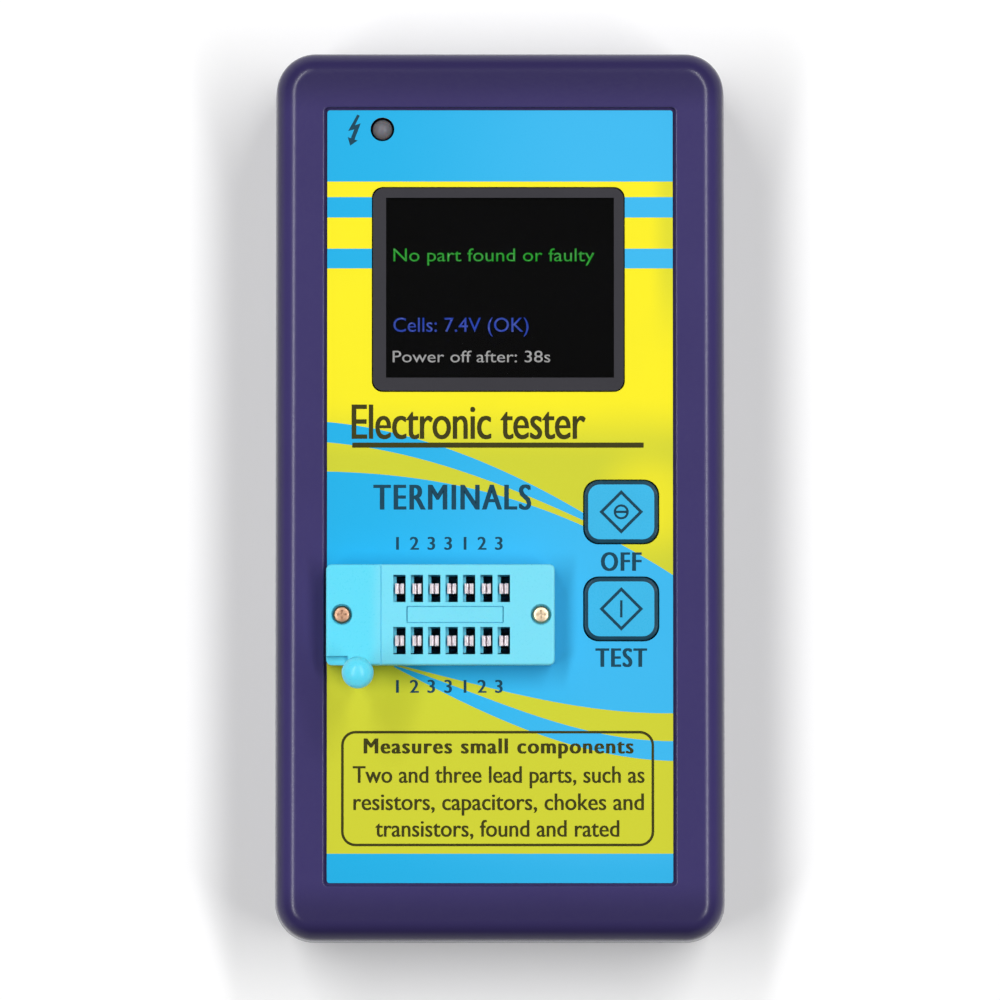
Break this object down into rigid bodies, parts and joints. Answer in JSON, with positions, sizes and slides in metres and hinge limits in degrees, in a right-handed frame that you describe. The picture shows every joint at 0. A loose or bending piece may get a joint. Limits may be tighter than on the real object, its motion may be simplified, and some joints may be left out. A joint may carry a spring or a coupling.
{
  "type": "component tester",
  "caption": "Handheld component tester: flat two-shell case, printed overlay, small colour display, two push keys and a lever-operated test socket.",
  "frame": {"origin": "the middle of the back face, on the surface that the tester lies on", "axes": "+Z out of the front face, +Y along the case towards the display end, +X across the case towards the keys"},
  "size_m": [0.0666, 0.1314, 0.0458],
  "materials": {
    "case_abs": "satin",
    "overlay_film": "satin",
    "window_acrylic": "gloss",
    "lamp_epoxy": "gloss",
    "white_foam": "matte",
    "display_steel": "satin",
    "screen_glass": "gloss",
    "ribbon_film": "satin",
    "board_green": "satin",
    "screw_steel": "satin",
    "screw_brass": "satin",
    "lever_steel": "polished",
    "tinned_metal": "satin",
    "capacitor_can": "satin",
    "black_plastic": "matte",
    "key_film": "satin",
    "socket_plastic": "satin",
    "cell_wrap": "gloss",
    "white_nylon": "satin",
    "red_pvc": "satin",
    "black_pvc": "satin"
  },
  "bodies": {
    "case": {"front_shell": "case_abs", "back_shell": "case_abs", "case_screw_1": "screw_steel", "case_screw_2": "screw_steel", "case_screw_3": "screw_steel", "case_screw_4": "screw_steel", "front_overlay": "overlay_film", "display_window": "window_acrylic", "charge_lamp": "lamp_epoxy", "display_pad": "white_foam", "display_frame": "display_steel", "display_glass": "screen_glass", "display_ribbon": "ribbon_film", "main_board": "board_green", "board_screw_1": "screw_steel", "board_screw_2": "screw_steel", "board_screw_3": "screw_steel", "board_screw_4": "screw_steel", "processor": "black_plastic", "charge_chip": "black_plastic", "crystal": "tinned_metal", "power_inductor": "black_plastic", "storage_capacitor": "capacitor_can", "off_switch_body": "black_plastic", "test_switch_body": "black_plastic", "socket_base": "socket_plastic", "socket_cover": "socket_plastic", "contact_top_1": "tinned_metal", "contact_top_2": "tinned_metal", "contact_top_3": "tinned_metal", "contact_top_4": "tinned_metal", "contact_top_5": "tinned_metal", "contact_top_6": "tinned_metal", "contact_top_7": "tinned_metal", "contact_bottom_1": "tinned_metal", "contact_bottom_2": "tinned_metal", "contact_bottom_3": "tinned_metal", "contact_bottom_4": "tinned_metal", "contact_bottom_5": "tinned_metal", "contact_bottom_6": "tinned_metal", "contact_bottom_7": "tinned_metal", "socket_screw_left": "screw_brass", "socket_screw_right": "screw_brass", "charging_inlet": "tinned_metal", "charging_inlet_tongue": "black_plastic", "battery_cell_left": "cell_wrap", "battery_cell_right": "cell_wrap", "cell_link": "tinned_metal", "battery_header": "white_nylon", "battery_plug": "white_nylon", "battery_lead_red": "red_pvc", "battery_lead_black": "black_pvc"},
    "lever": {"socket_lever": "lever_steel", "lever_knob": "socket_plastic"},
    "slider": {"socket_slider": "socket_plastic"},
    "off_button": {"off_key": "key_film", "off_switch_stem": "black_plastic"},
    "test_button": {"test_key": "key_film", "test_switch_stem": "black_plastic"}
  },
  "joints": [
    {"name": "lever_turn", "type": "hinge", "parent": "case", "child": "lever", "pos_m": [-0.0206, -0.0263, 0.0298], "axis": [0, -1, 0], "range_deg": [0, 90]},
    {"name": "slider_shift", "type": "slide", "parent": "case", "child": "slider", "axis": [-1, 0, 0], "range_m": [0, 0.0011]},
    {"name": "off_press", "type": "slide", "parent": "case", "child": "off_button", "axis": [0, 0, -1], "range_m": [0, 0.0004], "stiffness_N_per_m": 4000},
    {"name": "test_press", "type": "slide", "parent": "case", "child": "test_button", "axis": [0, 0, -1], "range_m": [0, 0.0004], "stiffness_N_per_m": 4000}
  ],
  "couplings": [
    {"joint": "slider_shift", "follows": "lever_turn", "m_per_rad": 0.0007}
  ]
}
